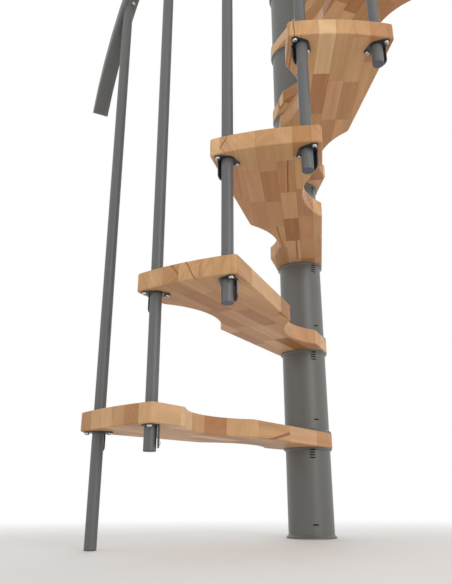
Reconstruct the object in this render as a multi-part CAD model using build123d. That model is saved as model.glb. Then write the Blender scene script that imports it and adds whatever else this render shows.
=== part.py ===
from build123d import *
import os
from math import asin, atan, cos, pi, radians, sin, tan

# Space-saving spiral staircase: wooden treads with staggered foot bays round a
# sleeved steel column, with tube balusters at the rim and a helical handrail.
# The flight climbs anticlockwise, seen from above. Sizes are in millimetres.

# The flight
rise = 237.0                    # from the top of one tread to the top of the next
tread_count = 11                # the last one is level with the upper floor
step_angle = 14.68              # turn from one tread to the next, in degrees
first_baluster_angle = 220.4    # where the first baluster stands, in degrees

# The treads
tread_radius = 600.0            # column axis to the curved outer edge
tread_thickness = 35.0
tread_end_width = 205.0         # across the two outer corners, before rounding
hub_radius = 59.5               # round end that wraps the column
bay_length = 206.0              # opening of a foot bay, along the side of the board
bay_depth = 39.5
inner_bay_start = 93.5          # from the end of the hub round to the inner bay
outer_bay_start = 309.0         # the same, to the bay in the other side
outer_corner_round = 7.5
bay_toe_round = 16.0            # bay corner that is nearer the rim
bay_heel_round = 3.0            # bay corner that is nearer the column
board_edge_ease = 1.5

# The column
pole_diameter = 48.3
pole_wall = 4.0
sleeve_diameter = 108.0
sleeve_wall = 3.0
flare_reach = 4.7               # how far each end of a sleeve spreads past its tube
flare_lip = 3.0                 # thickness of the outer rim of that flare
flare_height = 7.6              # from the end of a sleeve to where its flare begins
slot_width = 13.0
slot_height = 2.8
slot_pitch = 6.0
slot_group_count = 4            # slots in the row under each tread
slot_group_drop = 5.8           # from the top of a sleeve to its first slot
single_slot_lift = 30.0         # from the foot of a sleeve to its lone slot
slot_turn = 46.0                # slots stand this far round from the tread above
base_thickness = 8.0
anchor_circle_diameter = 78.0
anchor_hole_diameter = 9.0
anchor_count = 4
cap_height = 16.0
cap_ease = 5.0
pole_stub = 8.0                 # pole that stands above the top tread, in the cap

# The balusters
baluster_inset = 26.0           # from the rim of the treads to the line of the balusters
baluster_diameter = 22.0
baluster_wall = 2.0
baluster_tail = 43.5            # tube left below the lower of its two treads
plug_lip = 2.0
plug_lip_ease = 0.8
plug_depth = 10.0

# The brackets under the treads
bracket_thickness = 2.5
bracket_screw_spacing = 41.4
bracket_ear_radius = 6.3
bracket_turn = 45.0             # from the board's centreline to the line of its screws
tab_width = 23.0
tab_length = 38.0
tab_gap = 2.0                   # between the tab and the tube

# The handrail
rail_width = 35.0
rail_thickness = 16.0
rail_edge_ease = 1.5
rail_height = 1197.0            # underside above the floor, at the first baluster
rail_lower_overhang = 13.9      # rail that runs on below the first baluster, in degrees
rail_upper_overhang = 4.0       # rail that runs on above the last one, in degrees
saddle_width = 18.0
saddle_thickness = 3.0
saddle_length = 66.0

# Clearances
slip = 0.5                      # round a tube where it passes through a board
seat = 0.3                      # between curved faces that lie against each other

# Worked out from the sizes above
pole_radius = pole_diameter / 2
sleeve_radius = sleeve_diameter / 2
sleeve_bore = sleeve_radius - sleeve_wall
sleeve_height = rise - tread_thickness
flare_radius = sleeve_radius + flare_reach
baluster_radius = baluster_diameter / 2
baluster_circle_radius = tread_radius - baluster_inset
baluster_count = tread_count + 1
step_radians = radians(step_angle)
climb = rise / step_radians
rail_slope = atan(climb / baluster_circle_radius)
half_span = asin(tread_end_width / 2 / tread_radius)
side_lean = half_span - asin(hub_radius / tread_radius)
bay_radius = (bay_length ** 2 / 4 + bay_depth ** 2) / (2 * bay_depth)


def tread_angle(number):
    """Direction of a tread's centreline, in degrees."""
    return first_baluster_angle + (number - 0.5) * step_angle


def baluster_angle(number):
    """Direction of a baluster, in degrees."""
    return first_baluster_angle + (number - 1) * step_angle


def at_angle(shape, angle, height=0.0):
    """A shape drawn along +X, turned about the column and lifted."""
    return Pos(0, 0, height) * Rot(0, 0, angle) * shape


def save(name, shape):
    shape.label = name
    export_step(shape, f"parts/{name}.step")


def save_group(name, shapes):
    save(name, Compound(children=shapes))


def side_point(along, out, side):
    """A point beside the board's straight side, along it from the hub."""
    x = -hub_radius * sin(side_lean) + along * cos(side_lean) - out * sin(side_lean)
    y = hub_radius * cos(side_lean) + along * sin(side_lean) + out * cos(side_lean)
    return (x, side * y)


def nearest_vertex(sketch, point):
    place = Vector(point[0], point[1], 0)
    return min(sketch.vertices(), key=lambda v: (Vector(v.X, v.Y, v.Z) - place).length)


def baluster_hole_points():
    half = step_radians / 2
    x = baluster_circle_radius * cos(half)
    y = baluster_circle_radius * sin(half)
    return [(x, y), (x, -y)]


def tread_board():
    """The board along +X with its top face at z = 0 and the inner bay on +Y."""
    corner_x = tread_radius * cos(half_span)
    corner_y = tread_radius * sin(half_span)
    left_foot = side_point(0, 0, 1)
    right_foot = side_point(0, 0, -1)
    rim = ThreePointArc((corner_x, corner_y), (tread_radius, 0), (corner_x, -corner_y))
    hub = ThreePointArc(right_foot, (-hub_radius, 0), left_foot)
    left_side = Line(left_foot, (corner_x, corner_y))
    right_side = Line((corner_x, -corner_y), right_foot)
    outline = make_face([left_side, rim, right_side, hub])

    bays = [(inner_bay_start, 1), (outer_bay_start, -1)]
    for start, side in bays:
        middle = side_point(start + bay_length / 2, bay_radius - bay_depth, side)
        outline -= Pos(*middle) * Circle(bay_radius)
    for start, side in bays:
        heel = nearest_vertex(outline, side_point(start, 0, side))
        outline = fillet(heel, bay_heel_round)
        toe = nearest_vertex(outline, side_point(start + bay_length, 0, side))
        outline = fillet(toe, bay_toe_round)
    for side in (1, -1):
        corner = nearest_vertex(outline, (corner_x, side * corner_y))
        outline = fillet(corner, outer_corner_round)

    board = extrude(outline, -tread_thickness)
    rims = []
    for face in (board.faces().sort_by(Axis.Z)[0], board.faces().sort_by(Axis.Z)[-1]):
        rims += face.outer_wire().edges()
    board = chamfer(rims, board_edge_ease)
    board -= Pos(0, 0, -tread_thickness / 2) * Cylinder(pole_radius + slip, tread_thickness)
    for x, y in baluster_hole_points():
        hole = Cylinder(baluster_radius + slip, tread_thickness)
        board -= Pos(x, y, -tread_thickness / 2) * hole
    return board


def sleeve(turn):
    """A column sleeve that stands at z = 0, flared at both ends, slotted at one turn."""
    profile = Polyline(
        (sleeve_bore, 0),
        (flare_radius, 0),
        (flare_radius, flare_lip),
        (sleeve_radius, flare_height),
        (sleeve_radius, sleeve_height - flare_height),
        (flare_radius, sleeve_height - flare_lip),
        (flare_radius, sleeve_height),
        (sleeve_bore, sleeve_height),
        close=True,
    )
    tube = revolve(Plane.XZ * make_face(profile), Axis.Z)
    first_level = sleeve_height - slot_group_drop
    levels = [first_level - i * slot_pitch for i in range(slot_group_count)]
    levels.append(single_slot_lift)
    reach = sleeve_wall + flare_reach
    cutter = Box(2 * reach, slot_width, slot_height)
    for level in levels:
        tube -= Rot(0, 0, turn) * Pos(sleeve_radius, 0, level) * cutter
    return tube


def base_plate():
    """The plate that is anchored to the floor, inside the foot of the lowest sleeve."""
    outline = Circle(sleeve_bore - slip)
    for place in PolarLocations(anchor_circle_diameter / 2, anchor_count):
        outline -= place * Circle(anchor_hole_diameter / 2)
    return extrude(outline, base_thickness)


def centre_pole():
    """The inner pole, from the base plate to just above the top tread."""
    length = tread_count * rise + pole_stub - base_thickness
    ring = Circle(pole_radius) - Circle(pole_radius - pole_wall)
    return Pos(0, 0, base_thickness) * extrude(ring, length)


def column_cap():
    """The turned cap on the top tread, hollowed for the end of the pole."""
    blank = extrude(Circle(sleeve_radius), cap_height)
    blank = chamfer(blank.faces().sort_by(Axis.Z)[-1].edges(), cap_ease)
    recess = extrude(Circle(pole_radius + seat), pole_stub + seat)
    return blank - recess


def rail_underside(number, below=0.0):
    """Height of the rail's underside at a baluster, less a layer's thickness."""
    return rail_height + (number - 1) * rise - below / cos(rail_slope)


def tube_foot(number):
    """Height of the foot of a baluster: the floor, or below the lower of its treads."""
    return (number - 1) * rise - tread_thickness - baluster_tail if number > 1 else 0.0


def baluster(number):
    """One baluster in place along +X, cut to the rail's slope at its top."""
    foot = tube_foot(number) + plug_lip
    top = rail_underside(number, saddle_thickness + 2 * seat)
    spare = baluster_diameter * tan(rail_slope)
    ring = Circle(baluster_radius) - Circle(baluster_radius - baluster_wall)
    tube = Pos(baluster_circle_radius, 0, foot) * extrude(ring, top - foot + spare)
    cut = Plane(
        origin=(baluster_circle_radius, 0, top),
        x_dir=(1, 0, 0),
        z_dir=(0, -sin(rail_slope), cos(rail_slope)),
    )
    return split(tube, bisect_by=cut, keep=Keep.BOTTOM)


def baluster_plug(number):
    """The plug that closes the foot of a baluster, in place along +X."""
    lip = extrude(Circle(baluster_radius), plug_lip)
    lip = chamfer(lip.faces().sort_by(Axis.Z)[0].edges(), plug_lip_ease)
    stem = extrude(Circle(baluster_radius - baluster_wall - seat), plug_lip + plug_depth)
    body = lip + Pos(0, 0, plug_lip_ease) * stem
    return Pos(baluster_circle_radius, 0, tube_foot(number)) * body


def tread_bracket():
    """A bracket under a board, its screws along X and its tab towards +Y."""
    tab_far = baluster_radius + tab_gap + bracket_thickness
    ears = [Pos(side * bracket_screw_spacing / 2, 0) * Circle(bracket_ear_radius) for side in (1, -1)]
    rounds = [shape.edges()[0] for shape in (ears[0], Circle(tab_far), ears[1])]
    outline = make_hull(rounds)
    outline += Pos(0, tab_far / 2) * Rectangle(tab_width, tab_far)
    outline -= Circle(baluster_radius + slip)
    plate = extrude(outline, -bracket_thickness)

    straight = tab_length - tab_width / 2
    tongue = Pos(0, -straight / 2) * Rectangle(tab_width, straight)
    tongue += Pos(0, -straight) * Circle(tab_width / 2)
    upright = Plane(origin=(0, tab_far, 0), x_dir=(1, 0, 0), z_dir=(0, -1, 0))
    return plate + extrude(upright * tongue, bracket_thickness)


def bracket_in_place(number, side):
    """A bracket at the hole on one side of a tread; side is +1 or -1 across it."""
    x, y = baluster_hole_points()[0]
    placed = Pos(x, y, -tread_thickness) * Rot(0, 0, bracket_turn) * tread_bracket()
    if side < 0:
        placed = mirror(placed, about=Plane.XZ)
    return at_angle(placed, tread_angle(number), number * rise)


def rail_sweep(section, start_angle, sweep_angle, above):
    """Sweeps a section along the rail's helix, its middle that far above the underside."""
    pitch = climb * 2 * pi
    path = Helix(pitch, climb * radians(sweep_angle), baluster_circle_radius)
    start = Plane(origin=path @ 0, x_dir=(1, 0, 0), z_dir=path % 0)
    body = sweep(start * section, path=path, is_frenet=True)
    turned = start_angle - first_baluster_angle
    height = rail_height + climb * radians(turned) + above / cos(rail_slope)
    return at_angle(body, start_angle, height)


def handrail():
    """The flat bar on top of the balusters, its long edges eased."""
    section = Rectangle(rail_width, rail_thickness)
    section = chamfer(section.vertices(), rail_edge_ease)
    start = first_baluster_angle - rail_lower_overhang
    sweep_angle = rail_lower_overhang + tread_count * step_angle + rail_upper_overhang
    return rail_sweep(section, start, sweep_angle, rail_thickness / 2)


def rail_saddle(number):
    """The strip that joins a baluster to the underside of the rail."""
    section = Rectangle(saddle_width, saddle_thickness)
    per_degree = radians(1) * baluster_circle_radius / cos(rail_slope)
    back = baluster_radius / cos(rail_slope) / per_degree
    start = baluster_angle(number) - back
    below = -(seat + saddle_thickness / 2)
    return rail_sweep(section, start, saddle_length / per_degree, below)


os.makedirs("parts", exist_ok=True)

# The column
save("base_plate", base_plate())
save("centre_pole", centre_pole())
for number in range(1, tread_count + 1):
    piece = sleeve(tread_angle(number) + slot_turn)
    save(f"column_sleeve_{number:02d}", Pos(0, 0, (number - 1) * rise) * piece)
save("column_cap", Pos(0, 0, tread_count * rise) * column_cap())

# The treads
even_board = tread_board()
odd_board = mirror(even_board, about=Plane.XZ)
for number in range(1, tread_count + 1):
    board = odd_board if number % 2 else even_board
    save(f"tread_{number:02d}", at_angle(board, tread_angle(number), number * rise))

# The brackets, one under each end of every tread where a baluster passes
for side, name in ((-1, "front_brackets"), (1, "rear_brackets")):
    numbers = range(1, tread_count + 1)
    save_group(name, [bracket_in_place(number, side) for number in numbers])

# The balusters and the plugs in their feet
numbers = range(1, baluster_count + 1)
for number in numbers:
    save(f"baluster_{number:02d}", at_angle(baluster(number), baluster_angle(number)))
save_group("baluster_plugs", [at_angle(baluster_plug(n), baluster_angle(n)) for n in numbers])

# The handrail and the saddles that carry it
save("handrail", handrail())
save_group("rail_saddles", [rail_saddle(number) for number in numbers])
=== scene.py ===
import math

import bmesh
import bpy
from mathutils import Matrix, Vector


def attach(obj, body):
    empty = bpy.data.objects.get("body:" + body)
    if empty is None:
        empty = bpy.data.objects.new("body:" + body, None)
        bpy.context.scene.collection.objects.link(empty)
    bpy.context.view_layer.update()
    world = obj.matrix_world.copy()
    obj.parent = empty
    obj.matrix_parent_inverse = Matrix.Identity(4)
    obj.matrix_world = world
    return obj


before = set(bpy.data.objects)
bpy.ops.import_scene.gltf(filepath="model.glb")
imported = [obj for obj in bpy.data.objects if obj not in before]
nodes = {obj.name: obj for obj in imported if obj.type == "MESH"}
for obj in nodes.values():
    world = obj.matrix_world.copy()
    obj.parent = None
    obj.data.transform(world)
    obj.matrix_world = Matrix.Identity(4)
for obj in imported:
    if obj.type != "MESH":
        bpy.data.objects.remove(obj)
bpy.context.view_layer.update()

# The flight, in metres and degrees, as the solids have it
flight = {
    "rise": 0.237,
    "step": 14.68,
    "firstBaluster": 220.4,
    "treads": 11,
    "treadThickness": 0.035,
    "balusterCircle": 0.574,
}
stepRadians = math.radians(flight["step"])
startRadians = math.radians(flight["firstBaluster"])


# Colour and material helpers

def linear(hexColour):
    channels = [int(hexColour[i:i + 2], 16) / 255 for i in (1, 3, 5)]
    return [c / 12.92 if c <= 0.04045 else ((c + 0.055) / 1.055) ** 2.4 for c in channels] + [1.0]


def addNode(tree, kind, inputs=None, stops=None, **settings):
    node = tree.nodes.new(kind)
    for name, value in settings.items():
        setattr(node, name, value)
    for index, (position, colour) in enumerate(stops or []):
        elements = node.color_ramp.elements
        element = elements[index] if index < 2 else elements.new(position)
        element.position = position
        element.color = colour
    for socket, value in (inputs or {}).items():
        if isinstance(value, bpy.types.Node):
            value = value.outputs[0]
        if isinstance(value, bpy.types.NodeSocket):
            tree.links.new(value, node.inputs[socket])
        else:
            node.inputs[socket].default_value = value
    return node


def newMaterial(name):
    material = bpy.data.materials.new(name)
    material.use_nodes = True
    material.node_tree.nodes.clear()
    return material, material.node_tree


# Beech, glued up edge to edge from short planed staves and lacquered: warm tan blocks that
# change in tone from stave to stave, with fine straight grain and a soft sheen
beech = {
    "boardReach": 0.1,           # puts the whole thickness of a board in its own storey
    "staveWidth": 0.033,
    "staveLength": 0.130,
    "fewest": 0.86,              # staves to each such length, in the rows of the longest
    "moreAtMost": 0.30,          # how many more there are in the rows of the shortest
    "lean": 4.2,                 # degrees; the staves run along one side of each tapered board
    "rowShift": 40.0,            # the next three only deal the pattern
    "runShift": 9.0,
    "grainShift": 3.0,
    "tones": ["#ae7d51", "#cca174", "#ba895e", "#dab387", "#c8966f", "#a67349", "#d2a779",
              "#c09264"],
    "heart": "#6c3c22",          # dark line in a few staves
    "heartWidth": 0.0024,
    "heartShare": 0.16,
    "heartStrength": 0.78,
    "heartLean": 0.12,           # sideways for each metre along, at most
    "heartWave": 0.006,
    "grainDepth": 0.40,
    "heartGrainDepth": 0.50,     # how much more the grain of those staves shows
    "sawnSlant": 1.0,            # radians to the growth rings, at most
    "ringSpacing": 0.0045,       # real rings are 2 mm apart, too fine to show, so drawn wider
    "ringStretch": (0.02, 0.1),  # how slowly the grain changes along a stave and through it
    "figureSpacing": 0.014,
    "figureStretch": (0.06, 0.3),
    "figureDepth": 0.36,
    "fleckLength": 0.009,        # ray flecks are 1 to 3 mm long, drawn longer for the same cause
    "fleckStretch": (9, 3),      # times finer across and through
    "fleckRange": (0.60, 0.72),
    "fleckDepth": 0.07,
    "glueLine": 0.0005,
    "glueDepth": 0.16,           # how much darker the line is
    "glueHeight": 0.6,           # how far it sinks, against the height of the grain
    "roughness": 0.46,
    "roughnessSpread": 0.14,
    "bumpStrength": 0.12,
    "bumpHeight": 0.0004,        # metres, for the highest grain
    "gloss": 0.20,               # a thin matt lacquer shines less than its IOR says
}


def beechMaterial():
    material, tree = newMaterial("lacqueredBeech")
    place = addNode(tree, "ShaderNodeTexCoord").outputs["Object"]
    split = addNode(tree, "ShaderNodeSeparateXYZ", {0: place})

    # which tread this is, from its height, and the place on its board
    lifted = addNode(tree, "ShaderNodeMath", {0: split.outputs["Z"], 1: beech["boardReach"]},
                     operation="ADD")
    storeys = addNode(tree, "ShaderNodeMath", {0: lifted, 1: flight["rise"]}, operation="DIVIDE")
    number = addNode(tree, "ShaderNodeMath", {0: storeys}, operation="FLOOR")
    lean = math.radians(beech["lean"])
    odd = addNode(tree, "ShaderNodeMath", {0: number, 1: 2.0}, operation="MODULO")
    side = addNode(tree, "ShaderNodeMath",
                   {0: odd, 1: -2 * lean, 2: stepRadians / 2 - startRadians + lean},
                   operation="MULTIPLY_ADD")
    turn = addNode(tree, "ShaderNodeMath", {0: number, 1: -stepRadians, 2: side},
                   operation="MULTIPLY_ADD")
    board = addNode(tree, "ShaderNodeVectorRotate", {"Vector": place, "Angle": turn},
                    rotation_type="Z_AXIS")
    onBoard = addNode(tree, "ShaderNodeSeparateXYZ", {0: board})
    depth = addNode(tree, "ShaderNodeMath",
                    {0: number, 1: -flight["rise"], 2: split.outputs["Z"]},
                    operation="MULTIPLY_ADD")

    # rows of staves across the board
    boardSeed = addNode(tree, "ShaderNodeTexWhiteNoise", {"W": number}, noise_dimensions="1D")
    rows = addNode(tree, "ShaderNodeMath",
                   {0: onBoard.outputs["Y"], 1: 1 / beech["staveWidth"], 2: boardSeed},
                   operation="MULTIPLY_ADD")
    across = addNode(tree, "ShaderNodeMath", {0: rows, 1: beech["rowShift"]}, operation="ADD")
    row = addNode(tree, "ShaderNodeMath", {0: across}, operation="FLOOR")
    rowPlace = addNode(tree, "ShaderNodeCombineXYZ", {0: row, 1: number})
    rowSeed = addNode(tree, "ShaderNodeTexWhiteNoise", {"Vector": rowPlace},
                      noise_dimensions="3D")
    rowSplit = addNode(tree, "ShaderNodeSeparateColor", {0: rowSeed.outputs["Color"]})

    # the staves of a row, a little longer or shorter from row to row
    stretch = addNode(tree, "ShaderNodeMath",
                      {0: rowSplit.outputs[0], 1: beech["moreAtMost"] / beech["staveLength"],
                       2: beech["fewest"] / beech["staveLength"]}, operation="MULTIPLY_ADD")
    ran = addNode(tree, "ShaderNodeMath", {0: onBoard.outputs["X"], 1: stretch},
                  operation="MULTIPLY")
    runs = addNode(tree, "ShaderNodeMath", {0: rowSplit.outputs[1], 1: beech["runShift"], 2: ran},
                   operation="MULTIPLY_ADD")
    block = addNode(tree, "ShaderNodeMath", {0: runs}, operation="FLOOR")
    staveId = addNode(tree, "ShaderNodeCombineXYZ", {0: row, 1: block, 2: number})
    staveSeed = addNode(tree, "ShaderNodeTexWhiteNoise", {"Vector": staveId},
                        noise_dimensions="3D")
    staveSplit = addNode(tree, "ShaderNodeSeparateColor", {0: staveSeed.outputs["Color"]})
    count = len(beech["tones"])
    tone = addNode(tree, "ShaderNodeValToRGB", {0: staveSeed.outputs["Value"]},
                   stops=[(i / (count - 1), linear(c)) for i, c in enumerate(beech["tones"])])

    # grain: each stave is sawn at its own slant to the growth rings
    offset = addNode(tree, "ShaderNodeVectorMath",
                     {0: staveSeed.outputs["Color"], 1: [beech["grainShift"]] * 3},
                     operation="MULTIPLY")
    moved = addNode(tree, "ShaderNodeVectorMath", {0: board, 1: offset})
    slant = addNode(tree, "ShaderNodeMath",
                    {0: staveSplit.outputs[1], 1: 2 * beech["sawnSlant"], 2: -beech["sawnSlant"]},
                    operation="MULTIPLY_ADD")
    sawn = addNode(tree, "ShaderNodeVectorRotate", {"Vector": moved, "Angle": slant},
                   rotation_type="X_AXIS")
    ring = 1 / beech["ringSpacing"]
    along, through = beech["ringStretch"]
    drawn = addNode(tree, "ShaderNodeMapping",
                    {"Vector": sawn, "Scale": (ring * along, ring, ring * through)})
    fine = addNode(tree, "ShaderNodeTexNoise",
                   {"Vector": drawn, "Scale": 1.0, "Detail": 3.0, "Roughness": 0.6})
    figure = 1 / beech["figureSpacing"]
    along, through = beech["figureStretch"]
    wide = addNode(tree, "ShaderNodeMapping",
                   {"Vector": sawn, "Scale": (figure * along, figure, figure * through)})
    broad = addNode(tree, "ShaderNodeTexNoise",
                    {"Vector": wide, "Scale": 1.0, "Detail": 2.0, "Roughness": 0.5})
    fleck = 1 / beech["fleckLength"]
    sideways, through = beech["fleckStretch"]
    pecked = addNode(tree, "ShaderNodeMapping",
                     {"Vector": sawn, "Scale": (fleck, fleck * sideways, fleck * through)})
    rays = addNode(tree, "ShaderNodeTexNoise",
                   {"Vector": pecked, "Scale": 1.0, "Detail": 1.0, "Roughness": 0.5})
    low, high = beech["fleckRange"]
    peck = addNode(tree, "ShaderNodeMapRange",
                   {"Value": rays, "From Min": low, "From Max": high,
                    "To Min": 0.0, "To Max": beech["fleckDepth"]})

    chosen = addNode(tree, "ShaderNodeMath",
                     {0: staveSplit.outputs[2], 1: 1 - beech["heartShare"]},
                     operation="GREATER_THAN")
    contrast = addNode(tree, "ShaderNodeMath",
                       {0: chosen, 1: beech["heartGrainDepth"], 2: beech["grainDepth"]},
                       operation="MULTIPLY_ADD")
    level = addNode(tree, "ShaderNodeMath", {0: contrast, 1: -0.5, 2: 1.0},
                    operation="MULTIPLY_ADD")
    fineShade = addNode(tree, "ShaderNodeMath", {0: fine, 1: contrast, 2: level},
                        operation="MULTIPLY_ADD")
    broadShade = addNode(tree, "ShaderNodeMath",
                         {0: broad, 1: beech["figureDepth"], 2: 1 - beech["figureDepth"] / 2},
                         operation="MULTIPLY_ADD")
    grain = addNode(tree, "ShaderNodeMath", {0: fineShade, 1: broadShade}, operation="MULTIPLY")
    flecked = addNode(tree, "ShaderNodeMath", {0: grain, 1: peck}, operation="SUBTRACT")

    # thin dark glue lines between the staves
    edgeAcross = addNode(tree, "ShaderNodeMath", {0: across, 1: 0.5}, operation="PINGPONG")
    edgeAlong = addNode(tree, "ShaderNodeMath", {0: runs, 1: 0.5}, operation="PINGPONG")
    nearSide = addNode(tree, "ShaderNodeMath",
                       {0: edgeAcross, 1: beech["glueLine"] / beech["staveWidth"]},
                       operation="LESS_THAN")
    nearEnd = addNode(tree, "ShaderNodeMath",
                      {0: edgeAlong, 1: beech["glueLine"] / beech["staveLength"]},
                      operation="LESS_THAN")
    line = addNode(tree, "ShaderNodeMath", {0: nearSide, 1: nearEnd}, operation="MAXIMUM")
    lineShade = addNode(tree, "ShaderNodeMath", {0: line, 1: -beech["glueDepth"], 2: flecked},
                        operation="MULTIPLY_ADD")
    shaded = addNode(tree, "ShaderNodeVectorMath", {0: tone, "Scale": lineShade},
                     operation="SCALE")

    # a dark heart line that runs aslant through a few of the staves
    inRow = addNode(tree, "ShaderNodeMath", {0: across}, operation="FRACT")
    inBlock = addNode(tree, "ShaderNodeMath", {0: runs}, operation="FRACT")
    fromMiddle = addNode(tree, "ShaderNodeMath",
                         {0: inRow, 1: beech["staveWidth"], 2: -beech["staveWidth"] / 2},
                         operation="MULTIPLY_ADD")
    fromHalf = addNode(tree, "ShaderNodeMath",
                       {0: inBlock, 1: beech["staveLength"], 2: -beech["staveLength"] / 2},
                       operation="MULTIPLY_ADD")
    aslant = addNode(tree, "ShaderNodeMath",
                     {0: staveSplit.outputs[0], 1: 2 * beech["heartLean"], 2: -beech["heartLean"]},
                     operation="MULTIPLY_ADD")
    drift = addNode(tree, "ShaderNodeMath", {0: fromHalf, 1: aslant, 2: fromMiddle},
                    operation="MULTIPLY_ADD")
    sink = addNode(tree, "ShaderNodeMath", {0: depth, 1: slant, 2: drift},
                   operation="MULTIPLY_ADD")
    waved = addNode(tree, "ShaderNodeMath", {0: broad, 1: beech["heartWave"], 2: sink},
                    operation="MULTIPLY_ADD")
    centred = addNode(tree, "ShaderNodeMath", {0: waved, 1: beech["heartWave"] / 2},
                      operation="SUBTRACT")
    away = addNode(tree, "ShaderNodeMath", {0: centred}, operation="ABSOLUTE")
    streak = addNode(tree, "ShaderNodeMapRange",
                     {"Value": away, "From Min": 0.0, "From Max": beech["heartWidth"],
                      "To Min": beech["heartStrength"], "To Max": 0.0},
                     interpolation_type="SMOOTHSTEP")
    amount = addNode(tree, "ShaderNodeMath", {0: chosen, 1: streak}, operation="MULTIPLY")
    colour = addNode(tree, "ShaderNodeMix",
                     {"Factor": amount, 6: shaded, 7: linear(beech["heart"])},
                     data_type="RGBA")

    rough = addNode(tree, "ShaderNodeMath",
                    {0: fine, 1: beech["roughnessSpread"],
                     2: beech["roughness"] - beech["roughnessSpread"] / 2},
                    operation="MULTIPLY_ADD")
    height = addNode(tree, "ShaderNodeMath", {0: line, 1: -beech["glueHeight"], 2: fine},
                     operation="MULTIPLY_ADD")
    bump = addNode(tree, "ShaderNodeBump",
                   {"Strength": beech["bumpStrength"], "Distance": beech["bumpHeight"],
                    "Height": height})
    shader = addNode(tree, "ShaderNodeBsdfPrincipled",
                     {"Base Color": colour.outputs[2], "Roughness": rough, "Normal": bump,
                      "Specular IOR Level": beech["gloss"]})
    addNode(tree, "ShaderNodeOutputMaterial", {0: shader})
    return material


# Powder-coated steel, sprayed and baked: an even warm grey with a satin sheen and a faint
# orange peel
coatedSteel = {
    "column": "#656562",
    "tubes": "#5f6060",
    "rail": "#676866",
    "cloud": 9.0,                # thicker and thinner places to a metre, 110 mm each
    "cloudDepth": 0.08,
    "roughness": 0.40,
    "roughnessSpread": 0.08,
    "peel": 0.0016,
    "peelDepth": 0.00004,
    "peelStrength": 0.35,
}


def powderCoat(name, colour):
    material, tree = newMaterial(name)
    place = addNode(tree, "ShaderNodeTexCoord").outputs["Object"]
    cloud = addNode(tree, "ShaderNodeTexNoise",
                    {"Vector": place, "Scale": coatedSteel["cloud"], "Detail": 3.0})
    written = linear(colour)
    light = [c * (1 + coatedSteel["cloudDepth"]) for c in written[:3]] + [1.0]
    dim = [c * (1 - coatedSteel["cloudDepth"]) for c in written[:3]] + [1.0]
    tint = addNode(tree, "ShaderNodeMix", {"Factor": cloud, 6: dim, 7: light}, data_type="RGBA")
    peel = addNode(tree, "ShaderNodeTexNoise",
                   {"Vector": place, "Scale": 1 / coatedSteel["peel"], "Detail": 1.0})
    rough = addNode(tree, "ShaderNodeMath",
                    {0: cloud, 1: coatedSteel["roughnessSpread"],
                     2: coatedSteel["roughness"] - coatedSteel["roughnessSpread"] / 2},
                    operation="MULTIPLY_ADD")
    bump = addNode(tree, "ShaderNodeBump",
                   {"Strength": coatedSteel["peelStrength"],
                    "Distance": coatedSteel["peelDepth"], "Height": peel})
    shader = addNode(tree, "ShaderNodeBsdfPrincipled",
                     {"Base Color": tint.outputs[2], "Roughness": rough, "Normal": bump})
    addNode(tree, "ShaderNodeOutputMaterial", {0: shader})
    return material


# Zinc on steel, either passivated black on the brackets, which leaves soft dull reflections,
# or bright on the screws, which gives pale glints. The clouds are counted to a metre, so they
# are 17 mm across on the brackets and 5 mm on the screws
zinc = {
    "black": {"from": "#404347", "to": "#575b60", "cloud": 60.0, "metallic": 0.7,
              "roughness": 0.36},
    "bright": {"from": "#b9b8b3", "to": "#dcdbd6", "cloud": 220.0, "metallic": 1.0,
               "roughness": 0.28},
    "roughnessSpread": 0.14,
}


def zincPlate(name, finish):
    material, tree = newMaterial(name)
    place = addNode(tree, "ShaderNodeTexCoord").outputs["Object"]
    cloud = addNode(tree, "ShaderNodeTexNoise",
                    {"Vector": place, "Scale": finish["cloud"], "Detail": 3.0})
    tint = addNode(tree, "ShaderNodeMix",
                   {"Factor": cloud, 6: linear(finish["from"]), 7: linear(finish["to"])},
                   data_type="RGBA")
    rough = addNode(tree, "ShaderNodeMath",
                    {0: cloud, 1: zinc["roughnessSpread"],
                     2: finish["roughness"] - zinc["roughnessSpread"] / 2},
                    operation="MULTIPLY_ADD")
    shader = addNode(tree, "ShaderNodeBsdfPrincipled",
                     {"Base Color": tint.outputs[2], "Roughness": rough,
                      "Metallic": finish["metallic"]})
    addNode(tree, "ShaderNodeOutputMaterial", {0: shader})
    return material


# Injection-moulded polyethylene plugs: matt, fine-grained and a little bluer than the paint
plug = {
    "from": "#4f525d",
    "to": "#5b5e69",
    "grain": 0.0011,
    "roughness": 0.55,
    "roughnessSpread": 0.1,
}


def mouldedPlug():
    material, tree = newMaterial("mouldedPolyethylene")
    place = addNode(tree, "ShaderNodeTexCoord").outputs["Object"]
    grain = addNode(tree, "ShaderNodeTexNoise",
                    {"Vector": place, "Scale": 1 / plug["grain"], "Detail": 1.0})
    tint = addNode(tree, "ShaderNodeMix",
                   {"Factor": grain, 6: linear(plug["from"]), 7: linear(plug["to"])},
                   data_type="RGBA")
    rough = addNode(tree, "ShaderNodeMath",
                    {0: grain, 1: plug["roughnessSpread"],
                     2: plug["roughness"] - plug["roughnessSpread"] / 2},
                    operation="MULTIPLY_ADD")
    shader = addNode(tree, "ShaderNodeBsdfPrincipled",
                     {"Base Color": tint.outputs[2], "Roughness": rough})
    addNode(tree, "ShaderNodeOutputMaterial", {0: shader})
    return material


woodFinish = beechMaterial()
columnPaint = powderCoat("powderCoatedColumn", coatedSteel["column"])
tubePaint = powderCoat("powderCoatedTubes", coatedSteel["tubes"])
railPaint = powderCoat("powderCoatedRail", coatedSteel["rail"])
blackZinc = zincPlate("blackZincBracket", zinc["black"])
brightZinc = zincPlate("brightZincScrew", zinc["bright"])
plugFinish = mouldedPlug()

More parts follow.
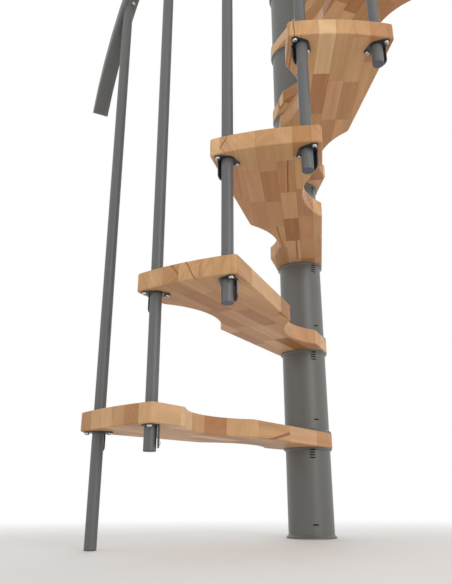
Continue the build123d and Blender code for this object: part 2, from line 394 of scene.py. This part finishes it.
# The first start that fits a node's name gives its finish
finishes = [
    ("tread_", woodFinish),
    ("front_brackets", blackZinc),
    ("rear_brackets", blackZinc),
    ("rail_saddles", tubePaint),
    ("baluster_plugs", plugFinish),
    ("baluster_", tubePaint),
    ("handrail", railPaint),
    ("", columnPaint),
]
for name, node in nodes.items():
    finish = next(material for start, material in finishes if name.startswith(start))
    node.data.materials.clear()
    node.data.materials.append(finish)
print("materials done")


# Screw heads, turned from a profile of radii and heights in shares of each head's own size
headShape = {
    "segments": 24,
    "dome": [(1.0, -0.06), (1.0, 0.30), (0.97, 0.52), (0.88, 0.74), (0.72, 0.91), (0.52, 1.0)],
    "socket": 0.44,              # across the corners of the hexagon
    "socketFloor": 0.42,
    "sharpFrom": 38,             # degrees between faces
}
bracketScrews = {
    "radius": 0.0047,
    "height": 0.0036,
    "spacing": 0.0414,
    "turn": 45.0,
    "plate": 0.0025,
}
tabScrews = {
    "radius": 0.0034,
    "height": 0.0024,
    "reach": 0.0155,             # from the tube's middle to the tab's outer face
    "drop": 0.0300,
}
saddleScrews = {
    "radius": 0.0040,
    "height": 0.0032,
    "along": (0.0225, 0.0360),   # clear of the tube's sloped cut
    "inward": 0.0050,
    "railHeight": 1.197,
    "below": 0.0033,             # saddle and its gap, under the rail
}


def addHead(shape, place, axis, size):
    turn = axis.to_track_quat("Z", "Y").to_matrix()
    segments = headShape["segments"]
    socket = headShape["socket"]
    profile = [(share, lift, False) for share, lift in headShape["dome"]]
    profile += [(socket, 1.0, True), (socket, headShape["socketFloor"], True)]
    rings = []
    for share, lift, hexagon in profile:
        ring = []
        for i in range(segments):
            angle = 2 * math.pi * i / segments
            radius = share * size["radius"]
            if hexagon:
                corner = angle % (math.pi / 3) - math.pi / 6
                radius *= math.cos(math.pi / 6) / math.cos(corner)
            spot = Vector((radius * math.cos(angle), radius * math.sin(angle),
                           lift * size["height"]))
            ring.append(shape.verts.new(place + turn @ spot))
        rings.append(ring)
    for lower, upper in zip(rings, rings[1:]):
        for i in range(segments):
            j = (i + 1) % segments
            shape.faces.new((lower[i], lower[j], upper[j], upper[i]))
    shape.faces.new(rings[-1])
    shape.faces.new(list(reversed(rings[0])))


def addScrews(name, heads, size):
    mesh = bpy.data.meshes.new(name)
    shape = bmesh.new()
    for place, axis in heads:
        addHead(shape, place, axis, size)
    for face in shape.faces:
        face.smooth = True
    shape.to_mesh(mesh)
    shape.free()
    mesh.set_sharp_from_angle(angle=math.radians(headShape["sharpFrom"]))
    mesh.materials.append(brightZinc)
    piece = bpy.data.objects.new(name, mesh)
    bpy.context.scene.collection.objects.link(piece)
    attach(piece, "root")


# A bracket's own frame, its screws along X and its tab towards +Y, set under one side of a board
def bracketFrame(number, side):
    half = stepRadians / 2
    hole = Matrix.Translation((flight["balusterCircle"] * math.cos(half),
                               flight["balusterCircle"] * math.sin(half),
                               -flight["treadThickness"]))
    aslant = Matrix.Rotation(math.radians(bracketScrews["turn"]), 4, "Z")
    mirrored = Matrix.Diagonal((1, side, 1, 1))
    facing = Matrix.Rotation(startRadians + (number - 0.5) * stepRadians, 4, "Z")
    lifted = Matrix.Translation((0, 0, number * flight["rise"]))
    return lifted @ facing @ mirrored @ hole @ aslant


underHeads = []
tabHeads = []
for number in range(1, flight["treads"] + 1):
    for side in (-1, 1):
        local = bracketFrame(number, side)
        for end in (-1, 1):
            spot = Vector((end * bracketScrews["spacing"] / 2, 0, -bracketScrews["plate"]))
            underHeads.append((local @ spot, Vector((0, 0, -1))))
        outward = (local.to_3x3() @ Vector((0, 1, 0))).normalized()
        spot = Vector((0, tabScrews["reach"], -tabScrews["drop"]))
        tabHeads.append((local @ spot, outward))
addScrews("bracket_screws", underHeads, bracketScrews)
addScrews("tab_screws", tabHeads, tabScrews)

# Two screws up into the rail at each baluster, square to the rail's slope
climb = flight["rise"] / stepRadians
slope = math.atan(climb / flight["balusterCircle"])
saddleHeads = []
for number in range(1, flight["treads"] + 2):
    for along in saddleScrews["along"]:
        swept = along * math.cos(slope) / flight["balusterCircle"]
        angle = startRadians + (number - 1) * stepRadians + swept
        outward = Vector((math.cos(angle), math.sin(angle), 0))
        forward = Vector((-math.sin(angle), math.cos(angle), 0))
        down = forward * math.sin(slope) - Vector((0, 0, 1)) * math.cos(slope)
        height = (saddleScrews["railHeight"] + (number - 1) * flight["rise"]
                  + climb * swept)
        radius = flight["balusterCircle"] - saddleScrews["inward"]
        spot = outward * radius + Vector((0, 0, height)) + down * saddleScrews["below"]
        saddleHeads.append((spot, down))
addScrews("saddle_screws", saddleHeads, saddleScrews)
print("screws done")


# Camera, from the photograph
camera = {
    "place": (-0.20178, -1.46789, 0.08015),
    "pitch": 19.358,
    "focalPixels": 580.78,
    "principal": (225.62, 297.48),
    "frame": (452, 584),
    "sensor": 36.0,
    "sightEnd": 60,
}


def addCamera():
    data = bpy.data.cameras.new("camera")
    width, height = camera["frame"]
    data.sensor_width = camera["sensor"]
    data.lens = camera["focalPixels"] * camera["sensor"] / height
    data.shift_x = (width / 2 - camera["principal"][0]) / height
    data.shift_y = (camera["principal"][1] - height / 2) / height
    data.clip_end = camera["sightEnd"]
    holder = bpy.data.objects.new("camera", data)
    holder.location = camera["place"]
    holder.rotation_euler = (math.radians(90 + camera["pitch"]), 0, 0)
    bpy.context.scene.collection.objects.link(holder)
    bpy.context.scene.camera = holder


addCamera()
bpy.context.scene.view_settings.view_transform = "Standard"

# Studio: a matt painted floor, pale and almost without sheen, brightened with distance by a
# painted white glow until it fades into white surroundings, and large soft lamps (name, place,
# target, width and height, watts)
studio = {
    "floorColour": "#edebe9",
    "floorRadius": 9.0,
    "floorSegments": 96,
    "floorDrop": 0.0005,         # keeps the floor clear of the column's foot
    "floorRoughness": 0.7,
    "floorGloss": 0.2,
    # painted glow: the floor turns from its paint to glowing white between these two distances
    # from this point, brightening the far floor
    "glowCentre": (0.2, -1.2, 0.0),
    "glowFrom": 1.2,
    "glowTo": 2.8,
    "worldLight": 0.72,
    "lamps": [
        ("keySoftbox", (1.8, -3.2, 1.4), (0, 0, 0.5), (1.6, 2.4), 36),
        ("fillSoftbox", (-3.0, -2.4, 0.9), (0, 0, 0.6), (1.6, 2.2), 6),
        ("backSoftbox", (0.4, 3.2, 2.2), (0, 0, 0.1), (2.4, 1.6), 18),
    ],
}


def addFloor():
    mesh = bpy.data.meshes.new("floor")
    shape = bmesh.new()
    bmesh.ops.create_circle(shape, cap_ends=True, segments=studio["floorSegments"],
                            radius=studio["floorRadius"])
    shape.to_mesh(mesh)
    shape.free()
    floor = bpy.data.objects.new("floor", mesh)
    floor.location = (0, 0, -studio["floorDrop"])
    bpy.context.scene.collection.objects.link(floor)
    material, tree = newMaterial("paintedStudioFloor")
    paint = addNode(tree, "ShaderNodeBsdfPrincipled",
                    {"Base Color": linear(studio["floorColour"]),
                     "Roughness": studio["floorRoughness"],
                     "Specular IOR Level": studio["floorGloss"]})
    place = addNode(tree, "ShaderNodeTexCoord").outputs["Object"]
    reach = addNode(tree, "ShaderNodeVectorMath", {0: place, 1: studio["glowCentre"]},
                    operation="DISTANCE")
    # painted glow: white emission mixed in by distance, standing in for studio light on the far
    # floor
    fade = addNode(tree, "ShaderNodeMapRange",
                   {"Value": reach.outputs["Value"], "From Min": studio["glowFrom"],
                    "From Max": studio["glowTo"]}, interpolation_type="SMOOTHSTEP")
    white = addNode(tree, "ShaderNodeEmission", {"Color": (1, 1, 1, 1), "Strength": 1.0})
    mix = addNode(tree, "ShaderNodeMixShader", {0: fade, 1: paint, 2: white})
    addNode(tree, "ShaderNodeOutputMaterial", {0: mix})
    mesh.materials.append(material)


# The surroundings are plain white to the eye and in reflections, and light the stairs less
def addWorld():
    world = bpy.data.worlds.new("studio")
    world.use_nodes = True
    bpy.context.scene.world = world
    tree = world.node_tree
    tree.nodes.clear()
    path = addNode(tree, "ShaderNodeLightPath")
    direct = addNode(tree, "ShaderNodeMath",
                     {0: path.outputs["Is Camera Ray"], 1: path.outputs["Is Transmission Ray"]},
                     operation="MAXIMUM")
    seen = addNode(tree, "ShaderNodeMath", {0: direct, 1: path.outputs["Is Glossy Ray"]},
                   operation="MAXIMUM")
    gain = addNode(tree, "ShaderNodeMath",
                   {0: seen, 1: 1.0 - studio["worldLight"], 2: studio["worldLight"]},
                   operation="MULTIPLY_ADD")
    back = addNode(tree, "ShaderNodeBackground", {"Color": (1, 1, 1, 1), "Strength": gain})
    addNode(tree, "ShaderNodeOutputWorld", {0: back})


def addLamp(name, place, target, size, power):
    data = bpy.data.lights.new(name, "AREA")
    data.shape = "RECTANGLE"
    data.size, data.size_y = size
    data.energy = power
    lamp = bpy.data.objects.new(name, data)
    lamp.location = place
    aim = Vector(target) - Vector(place)
    lamp.rotation_euler = aim.to_track_quat("-Z", "Y").to_euler()
    bpy.context.scene.collection.objects.link(lamp)


addFloor()
addWorld()
for lamp in studio["lamps"]:
    addLamp(*lamp)
print("studio done")

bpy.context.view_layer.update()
